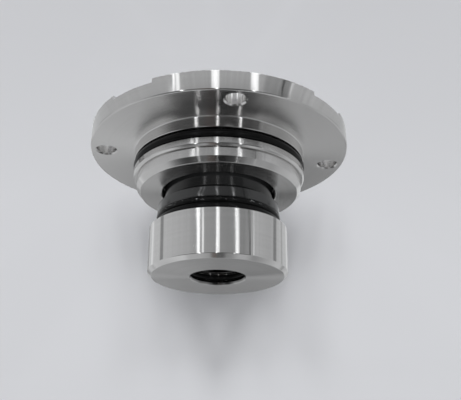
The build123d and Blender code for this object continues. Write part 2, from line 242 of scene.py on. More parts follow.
# %% Cutting
def cut(piece, tools):
    """Take the joined tools away from a piece."""
    take(tools[0])
    for tool in tools[1:]:
        tool.select_set(True)
    if len(tools) > 1:
        bpy.ops.object.join()
    cutter = bpy.context.object
    take(piece)
    away = piece.modifiers.new("cut", "BOOLEAN")
    away.operation, away.solver, away.object = "DIFFERENCE", "EXACT", cutter
    bpy.ops.object.modifier_apply(modifier=away.name)
    bpy.data.objects.remove(cutter)
    bpy.ops.object.shade_smooth_by_angle(angle=SMOOTH_LIMIT)
    print(piece.name, "cut to", len(piece.data.polygons), "faces")


# %% [markdown]
# ## The gland
#
# The gland is the part that stays still. Its flange is bolted against the pump and its spigot
# centres it in the pump's bore. Down the outline lie the rim, the flange face with a small radius
# into the spigot, the square groove for the O-ring, the locating land with its bevelled edge, a
# smaller second land, the long lead-in bevel, and the chamber where the seal ring sits.

# %% Gland outline
FLANGE_R, FLANGE_T, RIM_BEVEL, ROOT_R = 75.0, 11.5, 0.5, 0.6
SPIGOT_R, SPIGOT_END = 49.5, 24.85
GROOVE_R, GROOVE_LOW, GROOVE_HIGH = 44.85, 6.3, 12.3
LAND_END, LAND_BEVEL = 15.8, 1.0
RELIEF_R, SECOND_R, SECOND_END, LEAD_IN_R = 47.0, 47.4, 22.0, 45.2
CHAMBER_R, CHAMBER_FLOOR = 32.8, 10.0
CHAMBER_GROOVE_R, CHAMBER_GROOVE_LOW, CHAMBER_GROOVE_HIGH = 34.55, 15.6, 20.0
BUSH_R, BUSH_LOW, BACK_R = 23.32, -9.0, 20.4
gland = turned("gland", [
    (FLANGE_R - RIM_BEVEL, -FLANGE_T), (FLANGE_R, RIM_BEVEL - FLANGE_T), (FLANGE_R, -RIM_BEVEL),
    (FLANGE_R - RIM_BEVEL, 0), *arc((SPIGOT_R + ROOT_R, ROOT_R), ROOT_R, 270, 180),
    (SPIGOT_R, GROOVE_LOW), (GROOVE_R, GROOVE_LOW), (GROOVE_R, GROOVE_HIGH),
    (SPIGOT_R, GROOVE_HIGH), (SPIGOT_R, LAND_END), (SPIGOT_R - LAND_BEVEL, LAND_END + LAND_BEVEL),
    (RELIEF_R, LAND_END + LAND_BEVEL), (RELIEF_R, 17.2), (SECOND_R, 17.4), (SECOND_R, SECOND_END),
    (LEAD_IN_R, SPIGOT_END), (33.2, SPIGOT_END), (CHAMBER_R, 24.45),
    (CHAMBER_R, CHAMBER_GROOVE_HIGH), (CHAMBER_GROOVE_R, CHAMBER_GROOVE_HIGH),
    (CHAMBER_GROOVE_R, CHAMBER_GROOVE_LOW), (CHAMBER_R, CHAMBER_GROOVE_LOW),
    (CHAMBER_R, CHAMBER_FLOOR), (BUSH_R, CHAMBER_FLOOR), (BUSH_R, BUSH_LOW), (BACK_R, BUSH_LOW),
    (BACK_R, -FLANGE_T)], edge=0.2)

# %% [markdown]
# Four bolt holes are drilled through the flange on its bolt circle and bevelled at both mouths, and
# four wide, shallow slots are milled into its back from the rim, half way between the holes. The
# milling cutter leaves round inner corners, so two edges of its block are bevelled in steps.

# %% Bolt drill
BOLT_CIRCLE, BOLT_R, MOUTH = 66.0, 5.5, 0.75
OVER = 1     # how far a tool stands out past the faces that it cuts
drill = turned("drill", [
    (0, -FLANGE_T - OVER), (BOLT_R + MOUTH + OVER, -FLANGE_T - OVER), (BOLT_R, MOUTH - FLANGE_T),
    (BOLT_R, -MOUTH), (BOLT_R + MOUTH + OVER, OVER), (0, OVER)], edge=0, steps=64)
placed(drill, (BOLT_CIRCLE * MM, 0, 0))

# %% Slot mill
SLOT_W, SLOT_DEPTH, SLOT_REACH, SLOT_CORNER = 28.2, 2.8, 14.0, 4.0
PAST_RIM = 5
hands_off()
bpy.ops.mesh.primitive_cube_add(size=1)
mill = bpy.context.object
mill.scale = ((SLOT_REACH + PAST_RIM) * MM, SLOT_W * MM, 2 * SLOT_DEPTH * MM)
placed(mill, ((FLANGE_R - SLOT_REACH / 2 + PAST_RIM / 2) * MM, 0, -FLANGE_T * MM))
bpy.ops.object.mode_set(mode="EDIT")
bpy.ops.mesh.select_mode(type="EDGE")
bpy.ops.mesh.select_all(action="DESELECT")
bpy.ops.object.mode_set(mode="OBJECT")
inner = min(vertex.co.x for vertex in mill.data.vertices)
for edge in mill.data.edges:
    ends = [mill.data.vertices[i].co for i in edge.vertices]
    edge.select = all(abs(end.x - inner) < MM for end in ends) and abs(ends[0].y - ends[1].y) < MM
bpy.ops.object.mode_set(mode="EDIT")
bpy.ops.mesh.bevel(offset=SLOT_CORNER * MM, segments=8)
bpy.ops.mesh.select_mode(type="VERT")
bpy.ops.object.mode_set(mode="OBJECT")
placed(mill, (0, 0, 0), (0, 0, math.radians(45)))
print("slot mill has", len(mill.data.polygons), "faces")

# %% [markdown]
# The floor of the chamber holds six blind pockets for the springs and two holes for the pins that
# stop the seal ring from turning. They share one circle, at eight equal places.

# %% Chamber floor, and the cut
SPRING_CIRCLE, POCKET_FLOOR, POCKET_R = 27.15, 2, 2.8
SPRING_ANGLES = (45, 90, 135, 225, 270, 315)
PIN_HOLE_R = 2.02
pocket = round_cutter("pocket", POCKET_R, POCKET_FLOOR, 11, SPRING_CIRCLE)
pin_hole = round_cutter("pin_hole", PIN_HOLE_R, 3, 11, SPRING_CIRCLE)
tools = [copied(drill, a) for a in QUARTERS] + [copied(mill, a) for a in QUARTERS]
tools += [copied(pocket, a) for a in SPRING_ANGLES[1:]] + [copied(pin_hole, 180)]
placed(pocket, (0, 0, 0), (0, 0, math.radians(SPRING_ANGLES[0])))
cut(gland, [drill, mill, pocket, pin_hole] + tools)
stand_in(gland, "gland_plate")

# %% [markdown]
# ## The rotor
#
# The head and its sleeve are one turned piece that is gripped by the shaft. The front of the head
# carries a wide bevel, its bore opens with a small one, and just behind the nose lies the groove of
# the O-ring that seals on the shaft. The back of the head is hollowed out for the rotating ring.

# %% Rotor outline
SHAFT_R, SLEEVE_R, HEAD_R, RECESS_R = 15.0, 19.0, 38.75, 31.5
FOOT, HEAD_BACK, HEAD_FLOOR, NOSE, NOSE_BEVEL = -31, 47, 54, 73.8, 2.1
SNAP_R, SNAP_LOW, SNAP_HIGH = 18.2, -17, -15.45
SHAFT_GROOVE_R, SHAFT_GROOVE_LOW, SHAFT_GROOVE_HIGH = 18.6, 66.6, 71.8
rotor = turned("rotor", [
    (SHAFT_R, FOOT), (SLEEVE_R - 0.5, FOOT), (SLEEVE_R, FOOT + 0.5), (SLEEVE_R, SNAP_LOW),
    (SNAP_R, SNAP_LOW), (SNAP_R, SNAP_HIGH), (SLEEVE_R, SNAP_HIGH), (SLEEVE_R, HEAD_FLOOR),
    (RECESS_R, HEAD_FLOOR), (RECESS_R, HEAD_BACK), (HEAD_R - 0.2, HEAD_BACK),
    (HEAD_R, HEAD_BACK + 0.2), (HEAD_R, NOSE - NOSE_BEVEL), (HEAD_R - NOSE_BEVEL, NOSE),
    (SHAFT_R + 0.8, NOSE), (SHAFT_R, NOSE - 1.3), (SHAFT_R, SHAFT_GROOVE_HIGH),
    (SHAFT_GROOVE_R, SHAFT_GROOVE_HIGH), (SHAFT_GROOVE_R, SHAFT_GROOVE_LOW),
    (SHAFT_R, SHAFT_GROOVE_LOW)])

# %% Rotor holes
COLLAR_MIDDLE = -24.0
DRIVE_CIRCLE = 24.9


def laid_across(tool):
    """Lay an upright tool down so that it points outwards through the middle of the collar."""
    return placed(tool, (0, 0, COLLAR_MIDDLE * MM), (0, math.pi / 2, math.radians(45)))


screw_hole = laid_across(round_cutter("screw_hole", 3.3, 10, 23, steps=32))
drive_hole = round_cutter("drive_hole", PIN_HOLE_R, 53, 60, DRIVE_CIRCLE)
tools = [copied(screw_hole, a) for a in QUARTERS] + [copied(drive_hole, 180)]
cut(rotor, [screw_hole, drive_hole] + tools)
stand_in(rotor, "rotor_sleeve")

# %% [markdown]
# ## The seal rings
#
# The two rings that do the sealing are hard, dark silicon carbide. The stationary one floats in the
# chamber on springs and carries the narrow raised face, and the rotating one sits in the head. Both
# are ground all over, with edges just broken so that they don't chip. Two blind holes in the back
# of each take the pins that keep it from slipping round.

# %% Stationary and rotating ring
FACES_MEET, SHOULDER = 33.4, 32.4
GASKET_EDGE = 39.3
SOCKET_R = 2.3
stationary = turned("stationary_seal_ring", [
    (20.5, 14.5), (30.6, 14.5), (31, 14.9), (31, 31.1), (30.2, 31.5), (30.2, SHOULDER),
    (29, SHOULDER), (29, FACES_MEET), (24.5, FACES_MEET), (24.5, SHOULDER), (20.5, SHOULDER)],
    edge=0.1)
rotating = turned("rotating_seal_ring", [
    (19.8, FACES_MEET), *arc((34.3, FACES_MEET + 0.5), 0.5, 270, 360), (34.8, 38.9),
    (34.4, GASKET_EDGE), (30, GASKET_EDGE), (30, HEAD_FLOOR), (19.8, HEAD_FLOOR)], edge=0.1)
lock_hole = round_cutter("lock_hole", SOCKET_R, 13, 19.7, SPRING_CIRCLE)
cut(stationary, [lock_hole, copied(lock_hole, 180)])
key_hole = round_cutter("key_hole", SOCKET_R, 50.2, 55, DRIVE_CIRCLE)
cut(rotating, [key_hole, copied(key_hole, 180)])
stand_in(stationary, "stationary_ring")
stand_in(rotating, "rotating_ring")

# %% [markdown]
# ## Rubber
#
# O-rings come out of a two-part mould, which leaves a hair-thin raised line where its halves met,
# and that line is drawn into their outline. The gasket that holds the rotating ring in the head
# swells out into a small and a large bead, with a fine lip where each ends.

# %% O-rings
def o_ring(name, inner_r, section, height, flash=0.06, points=28):
    """A moulded ring with its parting line inside and out."""
    middle, half = inner_r + section / 2, section / 2
    corners = arc((middle, height), half - flash, 4, 176, points)
    corners += [(middle - half, height)] + arc((middle, height), half - flash, 184, 356, points)
    return turned(name, corners + [(middle + half, height)], edge=0)


gland_ring = o_ring("gland_ring", 44.9, 5.0, 9.3)
shaft_ring = o_ring("shaft_ring", 15.05, 3.5, 69.2)
stand_in(gland_ring, "gland_o_ring")
stand_in(shaft_ring, "shaft_o_ring")

# %% Gasket
GASKET_R, BEADS_MEET, BEAD_ROOT_R, BEAD_CREST_R = 30.05, 42.05, 34.2, 35.1


def bead(low, high, points=14):
    """Corners of one bead that swells from the root to the crest and back."""
    rise, half = BEAD_CREST_R - BEAD_ROOT_R, (high - low) / 2
    radius = (half ** 2 + rise ** 2) / (2 * rise)
    reach = math.degrees(math.asin(half / radius))
    return arc((BEAD_CREST_R - radius, low + half), radius, -reach, reach, points)


gasket = turned("ring_gasket", [
    (GASKET_R, GASKET_EDGE), *bead(GASKET_EDGE, BEADS_MEET), *bead(BEADS_MEET, HEAD_BACK)[1:],
    (GASKET_R, HEAD_BACK)], edge=0)
stand_in(gasket, "rotating_ring_gasket")

# %% [markdown]
# ## Springs
#
# Six small springs in the chamber floor press the stationary ring against its partner. A spring is
# a circle of wire carried along a helix, which the Screw modifier does, and its ends are ground
# flat, which bisect does. When the ring is pushed back the springs get shorter.

# %% Winding one spring
SPRING_WIRE, COIL_R, COIL_TOP, COIL_TURNS = 0.9, 2.05, 12.45, 5
GROUND_OFF = 0.02
hands_off()
bpy.ops.mesh.primitive_circle_add(vertices=12, radius=SPRING_WIRE / 2 * MM,
                                  location=(COIL_R * MM, 0, POCKET_FLOOR * MM),
                                  rotation=(math.pi / 2, 0, 0))
coil = bpy.context.object
bpy.ops.object.transform_apply(location=True, rotation=True, scale=True)
winding = coil.modifiers.new("winding", "SCREW")
winding.iterations, winding.steps, winding.render_steps = COIL_TURNS, 24, 24
winding.screw_offset = (COIL_TOP - POCKET_FLOOR) / COIL_TURNS * MM
bpy.ops.object.modifier_apply(modifier=winding.name)
bpy.ops.object.mode_set(mode="EDIT")
for end, keep_above in ((POCKET_FLOOR + GROUND_OFF, True), (COIL_TOP - GROUND_OFF, False)):
    bpy.ops.mesh.select_all(action="SELECT")
    bpy.ops.mesh.bisect(plane_co=(0, 0, end * MM), plane_no=(0, 0, 1), use_fill=True,
                        clear_inner=keep_above, clear_outer=not keep_above)
bpy.ops.mesh.select_all(action="SELECT")
bpy.ops.mesh.remove_doubles(threshold=SAME_POINT)
bpy.ops.mesh.normals_make_consistent(inside=False)
bpy.ops.object.mode_set(mode="OBJECT")
bpy.ops.object.shade_smooth_by_angle(angle=math.radians(50))
placed(coil, (SPRING_CIRCLE * MM, 0, 0))
print("wound a spring with", len(coil.data.polygons), "faces")

# %% Six springs
coils = []
for number, angle in enumerate(SPRING_ANGLES, start=1):
    one = copied(coil, angle)
    one.name = one.data.name = f"coil_{number}"
    stand_in(one, f"spring_{number}")
    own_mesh(one)
    coils.append(one)
bpy.data.objects.remove(coil)
print("set", len(coils), "springs")

# %% [markdown]
# ## The drive collar
#
# Behind the gland a collar grips the shaft through the sleeve with four headless screws, each with
# a hexagon socket for the key and a turned-down point. The socket is made from a six-sided
# cylinder and cut out, and the collar's holes are bevelled where the screws go in. A thread this
# small reads as a row of rings, so screws and holes are turned with a zigzag in their outline.

# %% Collar
COLLAR_R, COLLAR_BORE_R, COLLAR_BEVEL, COLLAR_TOP = 28.0, 19.05, 0.8, -17


def thread(crest, root, low, high, pitch=1.0):
    """Zigzag corners of a thread's rings between two heights."""
    turns = round((high - low) / pitch)
    rings = [(low + (k + 0.5) * pitch, low + (k + 1) * pitch) for k in range(turns)]
    return [corner for half, full in rings for corner in ((root, half), (crest, full))]


collar = turned("collar", [
    (COLLAR_BORE_R, FOOT), (COLLAR_R - COLLAR_BEVEL, FOOT), (COLLAR_R, FOOT + COLLAR_BEVEL),
    (COLLAR_R, COLLAR_TOP - COLLAR_BEVEL), (COLLAR_R - COLLAR_BEVEL, COLLAR_TOP),
    (COLLAR_BORE_R, COLLAR_TOP)])
tap = turned("tap", [(0, 16), (3.02, 16), (3.02, 18.6), *thread(3.02, 3.4, 18.6, 27.6),
                     (3.72, 28.3), (3.72, 32), (0, 32)], edge=0, steps=48)
laid_across(tap)
cut(collar, [tap] + [copied(tap, a) for a in QUARTERS])
stand_in(collar, "drive_collar")

# %% Set screws
SOCKET_HALF_W, SOCKET_MIDDLE = 1.5, 26.5
screw = turned("screw", [(0, 15.3), (2, 15.3), (3, 16.3), (3, 18.1), *thread(3, 2.6, 18.1, 27.1),
                         (2.6, 27.5), (0, 27.5)], edge=0, steps=48)
hands_off()
bpy.ops.mesh.primitive_cylinder_add(
    vertices=6, radius=SOCKET_HALF_W / math.cos(math.pi / 6) * MM, depth=4 * MM,
    location=(0, 0, SOCKET_MIDDLE * MM))
socket = bpy.context.object
cut(screw, [placed(socket, socket.location)])
laid_across(screw)
screws = []
for number, angle in enumerate((0, *QUARTERS), start=1):
    one = copied(screw, angle)
    one.name = one.data.name = f"socket_screw_{number}"
    stand_in(one, f"set_screw_{number}")
    screws.append(one)
bpy.data.objects.remove(screw)

# %% [markdown]
# ## Writing materials as sums
#
# A material is a sum: so much of this noise, times that band, plus a little wear. Node trees hide
# the sum behind wires, so a small class lets Python write it. It wraps one output socket, and
# adding or multiplying two of them puts down the Math node and wires it up.

# %% The wrapper
class Wire:
    """One output socket that takes part in sums."""

    def __init__(self, tree, socket=None):
        self.tree, self.socket = tree, socket

    def node(self, kind, settings=None, inputs=None, out=0):
        """Add a node, its settings first, then its inputs by name or number."""
        made = self.tree.nodes.new(kind)
        for key, value in (settings or {}).items():
            if key == "stops":
                ramp = made.color_ramp.elements
                while len(ramp) < len(value):
                    ramp.new(1)
                for stop, (place, level) in zip(ramp, value):
                    stop.position, stop.color = place, (level, level, level, 1)
            else:
                setattr(made, key, value)
        for key, value in (inputs or {}).items():
            if isinstance(value, Wire):
                self.tree.links.new(value.socket, made.inputs[key])
            else:
                made.inputs[key].default_value = value
        return Wire(self.tree, made.outputs[out])

    def math(self, operation, *others):
        sockets = {number: value for number, value in enumerate((self, *others))}
        return self.node("ShaderNodeMath", {"operation": operation}, sockets)

    def __add__(self, other): return self.math("ADD", other)
    def __mul__(self, other): return self.math("MULTIPLY", other)
    def __sub__(self, other): return self.math("SUBTRACT", other)
    def __rsub__(self, other): return (self * -1) + other
    __radd__, __rmul__ = __add__, __mul__

    def clamp(self): return self.node("ShaderNodeClamp", None, {0: self})


# %% Starting and wiring a material
def material(name):
    """A new material, the wrapper for its tree, its shader and its place on the object."""
    made = bpy.data.materials.new(name)
    made.use_nodes = True
    wire = Wire(made.node_tree)
    shader = made.node_tree.nodes["Principled BSDF"]
    place = wire.node("ShaderNodeTexCoord", out="Object")
    return made, wire, shader, place


def plug(wire, shader, **inputs):
    """Link varying inputs of a shader, with _ for a space in a name."""
    for key, value in inputs.items():
        wire.tree.links.new(value.socket, shader.inputs[key.replace("_", " ")])


def dress(made, *pieces):
    """Give pieces a material in place of what they had."""
    for piece in pieces:
        piece.data.materials.clear()
        piece.data.materials.append(made)
    print(made.name, "has", len(made.node_tree.nodes), "nodes, on", len(pieces), "pieces")


# %% Parts of a sum
BLACK = (0, 0, 0, 1)


def noise(where, scale, detail=2.0, rough=0.5):
    """Cloudy noise at a place, where a larger scale means finer clouds."""
    return where.node("ShaderNodeTexNoise", None, {"Vector": where, "Scale": scale,
                                                   "Detail": detail, "Roughness": rough})


def step(value, low, high, to_low=0, to_high=1, kind="SMOOTHSTEP"):
    """A soft step from one level at low to another at high, which may run downwards."""
    return value.node("ShaderNodeMapRange", {"interpolation_type": kind},
                      {"Value": value, "From Min": low, "From Max": high, "To Min": to_low,
                       "To Max": to_high})


def mixed(factor, first, second):
    """A colour that goes from the first to the second as the factor goes from 0 to 1."""
    return factor.node("ShaderNodeMix", {"data_type": "RGBA"},
                       {"Factor": factor, "A": first, "B": second}, out=2)


def off_axis(place):
    """The distance from the shaft axis."""
    flat = place.node("ShaderNodeVectorMath", {"operation": "MULTIPLY"}, {0: place, 1: (1, 1, 0)})
    return place.node("ShaderNodeVectorMath", {"operation": "LENGTH"}, {0: flat}, out="Value")


def near_grey(warmth):
    """White, a little warmer or cooler."""
    return (1 + warmth, 1, 1 - warmth, 1)


# %% [markdown]
# ## Turned steel
#
# A turned surface carries the tool's path as very fine rings, so a wall is marked by height and a
# face by radius. Both come from one pattern, if noise is read at the point (radius, height, a
# little of the angle). The rings also stretch every reflection across themselves, which the
# shader's anisotropy does. Handling leaves faint smears that change only the tone and roughness,
# and the wall of the bore is painted darker, a painted shade for the light that doesn't get in.

# %% Steel
PER_MM = 1000
ROUND_SHARE = 0.4                    # how much of the angle the rings take in
BORE_SHADE_FULL, BORE_SHADE_END = 15.2, 16.0   # radii in millimetres between which the painted shade of the bore fades out


def turned_steel(name, level, wall, face):
    """Steel with one roughness on walls and another on faces, both as the lathe left them."""
    made, wire, shader, place = material(name)
    along = [wire.node("ShaderNodeSeparateXYZ", None, {0: place}, out=k) for k in range(3)]
    radius = off_axis(place) * PER_MM
    around = along[1].math("ARCTAN2", along[0]) * ROUND_SHARE
    lathe = wire.node("ShaderNodeCombineXYZ", None, {0: radius, 1: along[2] * PER_MM, 2: around})
    fine, bands = noise(lathe, 1.3, 2.0, 0.6) - 0.5, noise(lathe, 0.45, 3.0, 0.6) - 0.5
    smears, spots = noise(place, 38.0, 4.0, 0.6) - 0.5, noise(place, 420.0) - 0.5
    normal = wire.node("ShaderNodeNewGeometry", out="Normal")
    upright = wire.node("ShaderNodeSeparateXYZ", None, {0: normal}, out=2).math("ABSOLUTE")
    flatness = step(upright, 0.8, 0.98)
    tone = level * (1 + bands * 0.10 + smears * 0.06 + fine * 0.06)
    # Painted shade: the bore wall's colour is darkened where light doesn't reach in.
    tone = tone * step(radius, BORE_SHADE_FULL, BORE_SHADE_END, to_low=0.3, kind="LINEAR")
    rough = wall + flatness * (face - wall) + smears * 0.05 + bands * 0.06
    rough = rough + fine * 0.05 + spots * 0.02
    bump = wire.node("ShaderNodeBump", None, {"Strength": 0.1, "Distance": 4e-6,
                                              "Height": fine + bands})
    plug(wire, shader, Base_Color=mixed(tone.clamp(), BLACK, near_grey(0.01)),
         Roughness=rough.clamp(), Normal=bump)
    shader.inputs["Metallic"].default_value = 1.0
    shader.inputs["Anisotropic"].default_value = 0.98
    shader.inputs["Anisotropic Rotation"].default_value = 0.25
    return made


# %% Steel pieces
dress(turned_steel("gland_steel", 0.66, 0.12, 0.2), gland)
dress(turned_steel("rotor_steel", 0.70, 0.12, 0.2), rotor)
dress(turned_steel("collar_steel", 0.58, 0.22, 0.36), collar)
dress(turned_steel("screw_steel", 0.25, 0.33, 0.36), *screws)
dress(turned_steel("spring_steel", 0.45, 0.26, 0.3), nodes["snap_ring"], *coils)
dress(turned_steel("plain_steel", 0.52, 0.28, 0.34), nodes["spring_thrust_ring"],
      nodes["ring_drive_pin_1"], nodes["ring_drive_pin_2"], nodes["anti_rotation_pin_1"],
      nodes["anti_rotation_pin_2"])

# %% [markdown]
# ## Carbide and carbon
#
# Ground silicon carbide is nearly black and shines like dark glass, because it bends light far more
# than glass does: a high index of refraction gives it that gloss. Its fine grain roughens it a
# little. The throttle bush is carbon, which has the same kind of grain but is dull.

# %% Carbide
def carbide(name, level, roughness, bending):
    """A hard, dark, ground surface with a given index of refraction."""
    made, wire, shader, place = material(name)
    grain, patches = noise(place, 1800.0, 3.0) - 0.5, noise(place, 60.0, 3.0) - 0.5
    tone = level + grain * 0.01 + patches * 0.006
    rough = roughness + grain * 0.12 + patches * 0.1
    plug(wire, shader, Base_Color=mixed(tone.clamp(), BLACK, near_grey(-0.03)),
         Roughness=rough.clamp())
    shader.inputs["IOR"].default_value = bending
    return made


dress(carbide("stationary_carbide", 0.006, 0.12, 1.65), stationary)
dress(carbide("rotating_carbide", 0.004, 0.1, 1.75), rotating)
dress(carbide("carbon", 0.02, 0.45, 1.6), nodes["throttle_bush"])

# %% [markdown]
# ## Rubber, grease and painted glints
#
# Seal rubber is black with a thin film of oil, which is a weak coat over a soft gloss. The gasket
# was pressed in with grease, and along its edge by the rotating ring it carries pale specks, partly
# the grease itself and partly painted glints of light on it: noise that only passes a high level,
# within a narrow band of heights.

# %% Rubber
GREASE_GLINTS_AT = GASKET_EDGE + 0.6


def rubber(name, roughness, coat, gloss, grease_and_glints=0.0):
    """Moulded rubber, with pale specks along the gasket's edge where asked for: grease and painted
    glints.
    """
    made, wire, shader, place = material(name)
    grain, film = noise(place, 2400.0, 3.0), noise(place, 90.0, 4.0, 0.65)
    height = wire.node("ShaderNodeSeparateXYZ", None, {0: place}, out=2) * PER_MM
    edge = step((height - GREASE_GLINTS_AT).math("ABSOLUTE"), 1.6, 0.4, kind="LINEAR")
    # Pale specks: partly grease, partly painted glints where light catches the grease.
    grease_glint_specks = noise(place, 1100.0, 3.0, 0.6) + noise(place, 130.0) * 0.6
    grease_glint_specks = step(grease_glint_specks, 0.93, 1.03, kind="LINEAR") * edge * grease_and_glints
    tone = 0.002 + (film - 0.5) * 0.004 + grease_glint_specks * 0.35
    rough = roughness + (film - 0.5) * 0.3
    bump = wire.node("ShaderNodeBump", None, {"Strength": 0.3, "Distance": 4e-6 + grease_and_glints * 3e-5,
                                              "Height": grain + film * 2 + grease_glint_specks})
    plug(wire, shader, Base_Color=mixed(tone.clamp(), BLACK, near_grey(-0.02)),
         Roughness=rough.clamp(), Normal=bump)
    shader.inputs["Coat Weight"].default_value = coat
    shader.inputs["Specular IOR Level"].default_value = gloss
    shader.inputs["Coat Roughness"].default_value = 0.08
    return made


dress(rubber("seal_rubber", 0.22, 0.04, 0.12), gland_ring, shaft_ring, nodes["stationary_o_ring"])
dress(rubber("gasket_rubber", 0.2, 0.03, 0.15, grease_and_glints=1.0), gasket)

# %% [markdown]
# ## The floor
#
# The floor is wide, plain and pale, and a little darker towards the camera, a painted shade where
# the light falls off.

# %% Floor
FLOOR_WHITE = (0.985, 0.997, 1.035, 1)
floor_z = cad_box[0].z
hands_off()
bpy.ops.mesh.primitive_plane_add(size=12, location=(0, 0, floor_z))
floor = bpy.context.object
floor.name = "floor"
made, wire, shader, place = material("floor")
back_side = wire.node("ShaderNodeSeparateXYZ", None, {0: place}, out=1)
# Painted shade: the floor's colour is darker towards the camera, for light that falls off there.
floor_tone_and_shade = step(back_side, -0.3, 0.2, to_low=0.555, to_high=0.63) + (noise(place, 1.5) - 0.5) * 0.02
plug(wire, shader, Base_Color=mixed(floor_tone_and_shade, BLACK, FLOOR_WHITE))
shader.inputs["Roughness"].default_value = 0.8
shader.inputs["Specular IOR Level"].default_value = 0.2
dress(made, floor)

# %% [markdown]
# ## The camera
#
# The seal stands nose up, and the camera looks down at it and is rolled half round, so that the
# nose hangs towards the bottom of the frame. A quaternion keeps tilt, turn and roll in that order.

# %% Camera
CAMERA_AT = Vector((0.04104, -0.34165, 0.16982))
TILT, TURN, ROLL = math.radians(-22.495), math.radians(7.990), math.radians(180.24)
bpy.ops.object.camera_add(location=CAMERA_AT)
camera = bpy.context.object
camera.rotation_mode = "QUATERNION"
camera.rotation_quaternion = (Euler((math.pi / 2 + TILT, 0, TURN)).to_quaternion()
                              @ Quaternion((0, 0, 1), ROLL))
camera.data.sensor_width, camera.data.lens = 36, 50.26
camera.data.clip_start, camera.data.clip_end = 0.01, 50
bpy.context.scene.camera = camera
front = math.atan2(CAMERA_AT.x, -CAMERA_AT.y)    # the camera's bearing, from -Y towards +X
print("camera stands at a bearing of", round(math.degrees(front), 2), "degrees")

# %% [markdown]
# ## Lamps
#
# The object is lit from the front and above by two broad lamps that light everything but the floor.
# The floor has lamps of its own, a row of low ones in front, which throw one long soft shadow with
# a lobe on each side behind the object. All are suns, so that the floor is lit evenly, and light
# linking is what keeps the two groups apart: a lamp lights only the pieces in its receiver
# collection, but every piece still blocks it.

# %% Helpers for lamps
def towards(bearing, distance, height):
    """A point at a bearing in degrees from the camera's side, counted from -Y towards +X."""
    angle = front + math.radians(bearing)
    return Vector((math.sin(angle) * distance, -math.cos(angle) * distance, height))


def linked(name, members):
    """A collection that a lamp can be told to light alone."""
    group = bpy.data.collections.new(name)
    for member in members:
        group.objects.link(member)
    return group


# %% Lamps
LAMP_AWAY = 2.0
only_floor = linked("only_floor", [floor])
all_but_floor = linked("all_but_floor", [piece for piece in bpy.data.objects
                                         if piece.type == "MESH" and piece != floor])
LAMPS = (   # name, bearing, elevation and spread in degrees, share of the light, what it lights
    ("key", 0, 20, 6, 0.40, all_but_floor), ("high", 0, 45, 10, 0.45, all_but_floor),
    ("low_middle", 0, 4, 4, 0.31, only_floor),
    ("low_left", -5, 5, 4, 0.17, only_floor), ("low_right", 5, 5, 4, 0.18, only_floor),
    ("side_left", -10, 4.5, 4, 0.08, only_floor), ("side_right", 11, 5, 4, 0.12, only_floor))
for name, bearing, elevation, spread, share, group in LAMPS:
    at = towards(bearing, LAMP_AWAY, LAMP_AWAY * math.tan(math.radians(elevation)))
    bpy.ops.object.light_add(type="SUN", location=at)
    lamp = bpy.context.object
    lamp.name = name
    lamp.data.angle = math.radians(spread)
    lamp.data.energy = share * math.pi / math.sin(math.radians(elevation))
    lamp.rotation_euler = (-at).to_track_quat("-Z", "Y").to_euler()
    lamp.visible_camera = lamp.visible_glossy = False
    lamp.light_linking.receiver_collection = group
print("lit by", len(LAMPS), "lamps")

# %% [markdown]
# ## A tent for the steel
#
# Polished steel shows little of itself and much of the room, so it is best shown inside a tent: a
# dome of pale cloth, dimmer where the camera looks in, with slits that draw bright lines down its
# walls. Under the dome lies a ring of the same cloth, for what the steel mirrors from below. Only
# glossy rays see them, so they shape the reflections and leave light and background alone.

# %% Tent
TENT_R, TENT_MOUTH = 3.0, 0.06
hands_off()
bpy.ops.mesh.primitive_circle_add(vertices=64, radius=TENT_MOUTH,
                                  location=(0, 0, floor_z + 0.0005))
ground = bpy.context.object
ground.name = "tent_ground"
bpy.ops.object.mode_set(mode="EDIT")
bpy.ops.mesh.select_all(action="SELECT")
bpy.ops.mesh.extrude_region_move()
bpy.ops.transform.resize(value=(TENT_R / TENT_MOUTH, TENT_R / TENT_MOUTH, 1))
hands_off()
bpy.ops.mesh.primitive_uv_sphere_add(segments=64, ring_count=32, radius=TENT_R,
                                     location=(0, 0, floor_z))
dome = bpy.context.object
dome.name = "tent_dome"
for cloth in (ground, dome):
    take(cloth)
    bpy.ops.object.transform_apply(location=True, rotation=True, scale=True)
    for ray in ("camera", "diffuse", "transmission", "volume_scatter", "shadow"):
        setattr(cloth, "visible_" + ray, False)
    print(cloth.name, "has", len(cloth.data.polygons), "faces")

# %% [markdown]
# ## Finding the way about the cloth
#
# The glow of the cloth is a sum of soft bands. A band needs to know where it is: how far a point
# lies ahead of the object, towards the camera's side, and across; its bearing round the object; and
# its elevation, the angle at which it stands above the floor as seen from the axis.

# %% Bearings and elevations
made, wire, shader, place = material("tent_cloth")


def along(direction):
    """How far a point lies in a direction."""
    return wire.node("ShaderNodeVectorMath", {"operation": "DOT_PRODUCT"},
                     {0: place, 1: direction}, out="Value")


ahead = along((math.sin(front), -math.cos(front), 0))
across = along((math.cos(front), math.sin(front), 0))
bearing = across.math("ARCTAN2", ahead) * math.degrees(1)
wide = bearing.math("ABSOLUTE")
reach = off_axis(place)
elevation = (along((0, 0, 1)) - floor_z).math("ARCTAN2", reach) * math.degrees(1)


# %% Bands and strips
def away(centre):
    """How many degrees of bearing lie between a point and a centre."""
    return (bearing - centre).math("ABSOLUTE")


def belt(low, low_full, high_full, high):
    """The cloth between two elevations, with soft edges."""
    return step(elevation, low, low_full) * step(elevation, high, high_full)


def shade(centre, half, soft, depth):
    """A darker strip of cloth at a bearing."""
    return 1 - step(away(centre), half + soft, half) * depth


def round_about(*levels):
    """A glow that follows (bearing, level) pairs all the way round."""
    return wire.node("ShaderNodeValToRGB",
                     {"stops": [(0.5 + angle / 360, level) for angle, level in levels]},
                     {"Fac": bearing * (1 / 360) + 0.5})


